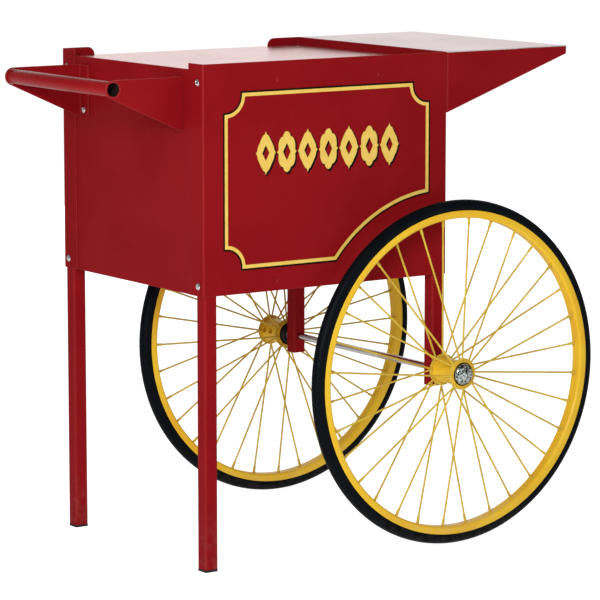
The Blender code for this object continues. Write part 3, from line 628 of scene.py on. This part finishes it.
def edges_group():
    """Lighter colour along folded and cut edges, partly wear and partly painted highlight: how far the
    rounded normal leans from the true one.
    """
    tree, given, out = new_group("edge_wear_and_highlight", [("Radius", "Float", 0.0015), ("Gain", "Float", 10.0)],
                                 [("Mask", "Float", None), ("Normal", "Vector", None)])
    soft = add_node(tree, "Bevel", {"Radius": given.outputs["Radius"]}, samples=4)
    true = add_node(tree, "NewGeometry")
    dot = add_node(tree, "VectorMath", {0: soft.outputs[0], 1: true.outputs["True Normal"]},
                   operation="DOT_PRODUCT")
    lean = add_node(tree, "Math", {0: 1.0, 1: dot.outputs["Value"]}, operation="SUBTRACT")
    gain = add_node(tree, "Math", {0: lean.outputs[0], 1: given.outputs["Gain"]},
                    operation="MULTIPLY", use_clamp=True)
    tree.links.new(gain.outputs[0], out.inputs["Mask"])
    tree.links.new(soft.outputs[0], out.inputs["Normal"])
    return tree


def dust_group():
    """Floor dust: thins out with height above the floor, broken up by fine noise."""
    tree, given, out = new_group("floor_dust", [("Reach", "Float", 0.2), ("Amount", "Float", 0.5)],
                                 [("Mask", "Float", None)])
    place = add_node(tree, "TexCoord")
    split = add_node(tree, "SeparateXYZ", {0: place.outputs["Object"]})
    fall = add_node(tree, "MapRange", {"Value": split.outputs["Z"], "From Min": given.outputs["Reach"],
                                       "From Max": 0.0}, interpolation_type="SMOOTHSTEP")
    noise = add_node(tree, "TexNoise", {"Vector": place.outputs["Object"], "Scale": 90.0,
                                        "Detail": 5.0})
    cut = add_node(tree, "MapRange", {"Value": noise.outputs[0], "From Min": 0.4, "From Max": 0.7})
    both = add_node(tree, "Math", {0: fall.outputs[0], 1: cut.outputs[0]}, operation="MULTIPLY")
    amount = add_node(tree, "Math", {0: both.outputs[0], 1: given.outputs["Amount"]},
                      operation="MULTIPLY")
    tree.links.new(amount.outputs[0], out.inputs["Mask"])
    return tree


GROUPS = {"patches": patches_group(), "edges": edges_group(), "dust": dust_group()}


def use_group(tree, kind, **values):
    """Place one of the shared groups in a material, with its own values."""
    node = tree.nodes.new("ShaderNodeGroup")
    node.node_tree = GROUPS[kind]
    for key, value in values.items():
        node.inputs[key].default_value = value
    return node


def make_finish(name, colour, roughness, metallic=0.0, tints=(), edge=None, dust=None, grain=None,
                peel=None, sockets=None):
    """Principled finish.

    tints: (colour, amount, patch values) laid over the colour in turn; edge: (colour, amount,
    radius), a lighter colour along edges, partly wear and partly painted highlight; dust: (colour,
    reach, amount); grain: (patch values, least, most roughness); peel: (patch values, bump distance).
    """
    material = bpy.data.materials.new(name)
    material.use_nodes = True
    tree = material.node_tree
    shader = tree.nodes["Principled BSDF"]
    shader.inputs["Base Color"].default_value = (*colour, 1)
    shader.inputs["Roughness"].default_value = roughness
    shader.inputs["Metallic"].default_value = metallic
    for key, value in (sockets or {}).items():
        shader.inputs[key].default_value = value
    below = (*colour, 1)
    layers = []
    normal = None
    for tint, amount, values in tints:
        layers.append((tint, amount, use_group(tree, "patches", **values).outputs["Mask"]))
    # Edge colour: lighter along edges, partly wear and partly painted highlight.
    if edge:
        lit_worn_edge = use_group(tree, "edges", Radius=edge[2])
        normal = lit_worn_edge.outputs["Normal"]
        layers.append((edge[0], edge[1], lit_worn_edge.outputs["Mask"]))
    if dust:
        settled = use_group(tree, "dust", Reach=dust[1], Amount=dust[2])
        layers.append((dust[0], 1.0, settled.outputs["Mask"]))
    for tint, amount, mask in layers:
        share = add_node(tree, "Math", {0: mask, 1: amount}, operation="MULTIPLY")
        mix = add_node(tree, "Mix", {0: share.outputs[0], 6: below, 7: (*tint, 1)},
                       data_type="RGBA")
        below = mix.outputs[2]
    if layers:
        tree.links.new(below, shader.inputs["Base Color"])
    if grain:
        patch = use_group(tree, "patches", **grain[0])
        spread = add_node(tree, "MapRange", {"Value": patch.outputs["Mask"], "To Min": grain[1],
                                             "To Max": grain[2]})
        tree.links.new(spread.outputs[0], shader.inputs["Roughness"])
    if peel:
        patch = use_group(tree, "patches", **peel[0])
        values = {"Height": patch.outputs["Mask"], "Distance": peel[1], "Strength": 0.6}
        if normal:
            values["Normal"] = normal
        normal = add_node(tree, "Bump", values).outputs[0]
    if normal:
        tree.links.new(normal, shader.inputs["Normal"])
    return material


def make_finishes():
    """Every finish on the cart, by name."""
    fine = {"Scale": 420.0, "Detail": 2.0, "Low": 0.3, "High": 0.7}
    broad = {"Scale": 7.0, "Detail": 4.0}
    scuffs = {"Scale": 26.0, "Detail": 6.0, "Low": 0.52, "High": 0.72}
    brushed = {"Stretch": (2.0, 160.0, 60.0), "Scale": 6.0, "Detail": 4.0, "Low": 0.3, "High": 0.7}
    return {
        # Each edge colour below is lighter than its finish: partly wear and partly painted highlight
        # along edges.
        "red_enamel": make_finish(
            "red_enamel", (0.285, 0.0074, 0.0105), 0.40,
            tints=[((0.235, 0.0046, 0.0076), 0.55, broad), ((0.310, 0.0095, 0.0125), 0.35, scuffs)],
            edge=((0.60, 0.085, 0.075), 0.55, 0.0020), dust=((0.30, 0.09, 0.08), 0.14, 0.30),
            grain=(broad, 0.34, 0.46), peel=(fine, 0.00012),
            sockets={"Specular IOR Level": 0.02, "Coat Weight": 0.01, "Coat Roughness": 0.12}),
        # A brighter copy of the red enamel: painted light on the handle tube. Its specular tint turns
        # its highlights red.
        "tube_enamel_painted_light": make_finish(
            "tube_enamel_painted_light", (0.340, 0.0046, 0.0072), 0.30,
            tints=[((0.285, 0.0030, 0.0058), 0.55, broad), ((0.390, 0.012, 0.014), 0.35, scuffs)],
            edge=((0.60, 0.085, 0.075), 0.6, 0.0010), grain=(broad, 0.24, 0.34),
            peel=(fine, 0.00010),
            sockets={"Specular IOR Level": 0.16, "Specular Tint": (1.0, 0.20, 0.16, 1.0)}),
        # Its deeper orange patches, laid at random, stand in for the oranger tone of the shaded
        # yellow: painted shade.
        "yellow_enamel": make_finish(
            "yellow_enamel", (0.94, 0.60, 0.032), 0.36,
            tints=[((0.86, 0.45, 0.018), 0.6, broad), ((0.95, 0.66, 0.07), 0.35, scuffs)],
            edge=((0.90, 0.66, 0.12), 0.4, 0.0008), dust=((0.58, 0.46, 0.26), 0.10, 0.3),
            grain=(scuffs, 0.30, 0.42), peel=(fine, 0.00008),
            sockets={"Specular IOR Level": 0.14, "Coat Weight": 0.05, "Coat Roughness": 0.1}),
        # A darker, duller copy of the yellow enamel, with darker orange patches: painted shade on the
        # thin spokes.
        "spoke_enamel_painted_shade": make_finish(
            "spoke_enamel_painted_shade", (0.76, 0.54, 0.06), 0.34,
            tints=[((0.50, 0.30, 0.03), 0.5, {"Scale": 18.0, "Detail": 3.0}),
                   ((0.72, 0.52, 0.08), 0.4, scuffs)],
            dust=((0.50, 0.40, 0.22), 0.10, 0.3), grain=(scuffs, 0.28, 0.42),
            sockets={"Specular IOR Level": 0.12}),
        # Pink tint in the colour and the specular tint: painted reflection of the red paint around the
        # deck.
        "stainless": make_finish(
            "stainless", (0.76, 0.70, 0.69), 0.2, 1.0,
            tints=[((0.68, 0.62, 0.61), 0.5, brushed), ((0.82, 0.76, 0.75), 0.5, broad)],
            edge=((0.95, 0.90, 0.89), 0.6, 0.0010), grain=(brushed, 0.14, 0.30),
            peel=(brushed, 0.00004),
            sockets={"Anisotropic": 0.3, "Specular Tint": (1.0, 0.80, 0.79, 1.0)}),
        # Pink tint in the colour and the specular tint: painted reflection of the red paint around the
        # shelf top.
        "shelf_steel": make_finish(
            "shelf_steel", (0.78, 0.72, 0.72), 0.34, 1.0,
            tints=[((0.72, 0.66, 0.66), 0.5, brushed), ((0.82, 0.77, 0.77), 0.5, broad)],
            edge=((0.95, 0.90, 0.89), 0.6, 0.0010), grain=(brushed, 0.26, 0.40),
            peel=(brushed, 0.00004),
            sockets={"Anisotropic": 0.3, "Specular Tint": (1.0, 0.90, 0.90, 1.0)}),
        # The blue cast of the black rubber and of its patches: a painted sheen.
        "tyre_rubber": make_finish(
            "tyre_rubber", (0.0018, 0.0034, 0.0056), 0.5,
            tints=[((0.0040, 0.0052, 0.0072), 0.6, {"Scale": 30.0, "Detail": 5.0})],
            dust=((0.05, 0.047, 0.042), 0.10, 0.35), grain=(scuffs, 0.42, 0.60),
            peel=({"Scale": 700.0, "Detail": 3.0}, 0.00012),
            sockets={"Specular IOR Level": 0.06}),
        "black_plastic": make_finish(
            "black_plastic", (0.010, 0.010, 0.011), 0.45,
            tints=[((0.018, 0.018, 0.018), 0.6, {"Scale": 60.0, "Detail": 4.0})],
            dust=((0.09, 0.08, 0.075), 0.05, 0.4), grain=(scuffs, 0.4, 0.55),
            peel=({"Scale": 900.0, "Detail": 2.0}, 0.00010), sockets={"Specular IOR Level": 0.2}),
        "chrome": make_finish(
            "chrome", (0.80, 0.81, 0.83), 0.08, 1.0,
            tints=[((0.62, 0.62, 0.63), 0.5, {"Scale": 120.0, "Detail": 4.0})],
            grain=({"Scale": 200.0, "Detail": 4.0}, 0.06, 0.16)),
        # Teal-grey base with near-black and pale blotches: painted reflections in the chrome cap.
        "cap_chrome_painted_reflection": make_finish(
            "cap_chrome_painted_reflection", (0.62, 0.68, 0.67), 0.16, 1.0,
            tints=[((0.02, 0.022, 0.022), 0.95, {"Scale": 230.0, "Detail": 2.0, "Low": 0.47,
                                                 "High": 0.55}),
                   ((0.85, 0.93, 0.92), 0.7, {"Scale": 310.0, "Detail": 3.0, "Low": 0.5,
                                              "High": 0.66})],
            grain=({"Scale": 200.0, "Detail": 4.0}, 0.10, 0.26)),
        "axle_steel": make_finish(
            "axle_steel", (0.70, 0.69, 0.71), 0.14, 1.0,
            tints=[((0.52, 0.52, 0.54), 0.5, {"Stretch": (60.0, 4.0, 60.0), "Scale": 8.0})],
            grain=({"Stretch": (80.0, 3.0, 80.0), "Scale": 8.0}, 0.10, 0.22)),
        "zinc_steel": make_finish(
            "zinc_steel", (0.60, 0.60, 0.58), 0.32, 1.0,
            tints=[((0.50, 0.50, 0.46), 0.6, {"Scale": 220.0, "Detail": 4.0})],
            edge=((0.75, 0.75, 0.73), 0.5, 0.0005), grain=(scuffs, 0.26, 0.42)),
        # Near-black: painted shade inside the handle tube's bore.
        "bore_painted_shade": make_finish(
            "bore_painted_shade", (0.012, 0.008, 0.008), 0.6,
            tints=[((0.030, 0.012, 0.010), 0.6, {"Scale": 60.0, "Detail": 4.0})],
            grain=(scuffs, 0.5, 0.7), sockets={"Specular IOR Level": 0.2}),
        "pinstripe": make_finish(
            "pinstripe", (0.90, 0.62, 0.12), 0.4,
            tints=[((0.84, 0.52, 0.08), 0.5, {"Scale": 14.0, "Detail": 4.0}),
                   ((0.93, 0.70, 0.20), 0.4, {"Scale": 110.0, "Detail": 3.0})],
            grain=(scuffs, 0.36, 0.5), sockets={"Specular IOR Level": 0.10}),
        "outline_black": make_finish(
            "outline_black", (0.006, 0.0025, 0.003), 0.42,
            tints=[((0.014, 0.004, 0.005), 0.6, {"Scale": 16.0, "Detail": 4.0})],
            grain=(scuffs, 0.36, 0.5), sockets={"Specular IOR Level": 0.06}),
    }


def dress(node, finish):
    """Give a kept CAD node its finish in every material slot."""
    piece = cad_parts[node]
    if not piece.material_slots:
        piece.data.materials.append(finish)
    for slot in piece.material_slots:
        slot.material = finish


# ---- Floor, light and camera --------------------------------------------------------------
FLOOR_REACH = 40.0
FLOOR_GLOW, FLOOR_GLOW_SEEN = 0.26, 0.84      # for the light it gives, and for the camera
SURROUND, SURROUND_SEEN = 0.24, 1.02
CAMERA_PLACE = (-3.2306, -4.7260, 1.2798)
CAMERA_YAW = math.radians(34.61)
CAMERA_PITCH = math.radians(8.61)
CAMERA_LENS = 194.0
AIM = Vector((0.0, 0.0, 0.5))
LIGHTS = [("key", (-2.4, -2.3, 1.6), 1.2, 68),        # name, place, size, power
          ("fill", (1.2, -4.4, 0.2), 2.0, 12),
          ("back", (2.2, 3.6, 1.9), 4.4, 36)]


def make_floor():
    """Plain pale floor, level and wide, lit softly from within so that it stays white."""
    material = bpy.data.materials.new("studio_floor")
    material.use_nodes = True
    shader = material.node_tree.nodes["Principled BSDF"]
    shader.inputs["Base Color"].default_value = (0.96, 0.96, 0.96, 1)
    shader.inputs["Roughness"].default_value = 0.9
    shader.inputs["Specular IOR Level"].default_value = 0.0
    shader.inputs["Emission Color"].default_value = (1, 1, 1, 1)
    path = add_node(material.node_tree, "LightPath")
    glow = add_node(material.node_tree, "MapRange", {"Value": path.outputs["Is Camera Ray"],
                                                     "To Min": FLOOR_GLOW,
                                                     "To Max": FLOOR_GLOW_SEEN})
    material.node_tree.links.new(glow.outputs[0], shader.inputs["Emission Strength"])
    steps = np.linspace(-FLOOR_REACH, FLOOR_REACH, 9)
    x, y = np.meshgrid(steps, steps)
    points = np.stack([x, y, 0 * x], axis=-1).reshape(-1, 3)
    index = np.arange(x.size).reshape(x.shape)
    faces = np.stack([index[:-1, :-1], index[:-1, 1:], index[1:, 1:], index[1:, :-1]], axis=-1)
    mesh = bpy.data.meshes.new("studio_floor")
    mesh.from_pydata(points.tolist(), [], faces.reshape(-1, 4).tolist())
    mesh.materials.append(material)
    floor = bpy.data.objects.new("studio_floor", mesh)
    bpy.context.scene.collection.objects.link(floor)


def make_world():
    """White surround for the camera and a softer white for the light that it gives."""
    world = bpy.data.worlds.new("studio")
    bpy.context.scene.world = world
    world.use_nodes = True
    tree = world.node_tree
    tree.nodes.clear()
    path = add_node(tree, "LightPath")
    seen = add_node(tree, "Background", {"Color": (1, 1, 1, 1), "Strength": SURROUND_SEEN})
    given = add_node(tree, "Background", {"Color": (1, 1, 1, 1), "Strength": SURROUND})
    mix = add_node(tree, "MixShader", {0: path.outputs["Is Camera Ray"], 1: given.outputs[0],
                                       2: seen.outputs[0]})
    out = tree.nodes.new("ShaderNodeOutputWorld")
    tree.links.new(mix.outputs[0], out.inputs["Surface"])


def add_light(name, place, size, power):
    """Round soft light aimed at the cart's middle, itself out of the camera's sight."""
    light = bpy.data.lights.new(name, "AREA")
    light.shape = "DISK"
    light.size = size
    light.energy = power
    lamp = bpy.data.objects.new(name, light)
    lamp.location = place
    lamp.rotation_euler = (AIM - Vector(place)).to_track_quat("-Z", "Y").to_euler()
    lamp.visible_camera = False
    bpy.context.scene.collection.objects.link(lamp)


def make_camera():
    """Long lens, a little above the cart and off the handle's near corner."""
    camera = bpy.data.cameras.new("camera")
    camera.sensor_width = 36
    camera.lens = CAMERA_LENS
    camera.clip_end = 200
    holder = bpy.data.objects.new("camera", camera)
    holder.location = CAMERA_PLACE
    holder.rotation_euler = (math.pi / 2 - CAMERA_PITCH, 0, -CAMERA_YAW)
    bpy.context.scene.collection.objects.link(holder)
    bpy.context.scene.camera = holder


# ---- The cart -----------------------------------------------------------------------------
make_camera()
make_world()
make_floor()
for row in LIGHTS:
    add_light(*row)
bpy.context.scene.view_settings.view_transform = "Standard"

FINISH = make_finishes()
for side in ("near", "far"):
    make_wheel(side)
make_piece("fine_axle", axle_surface(), "cart", FINISH["axle_steel"], ["axle"])
make_handle_tube()
screws = [name for name in sorted(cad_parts) if name.endswith(("_screw", "_bolt"))]
for node in screws:
    make_piece(f"fine_{node}", screw_surface(node), "cart", FINISH["chrome"], [node])
make_decoration()
make_rivets()

for node in ("front_panel", "rear_panel", "handle_end_panel", "shelf_end_panel", "shelf_frame",
             "near_long_leg", "far_long_leg", "near_short_leg", "far_short_leg",
             "near_handle_plate", "far_handle_plate", "floor_pan"):
    dress(node, FINISH["red_enamel"])
dress("deck", FINISH["stainless"])
dress("shelf_top", FINISH["shelf_steel"])
for node in ("near_foot", "far_foot", "near_outer_bush", "far_outer_bush"):
    dress(node, FINISH["black_plastic"])
for node in ("near_axle_nut", "far_axle_nut", "near_axle_washer", "far_axle_washer"):
    dress(node, FINISH["zinc_steel"])
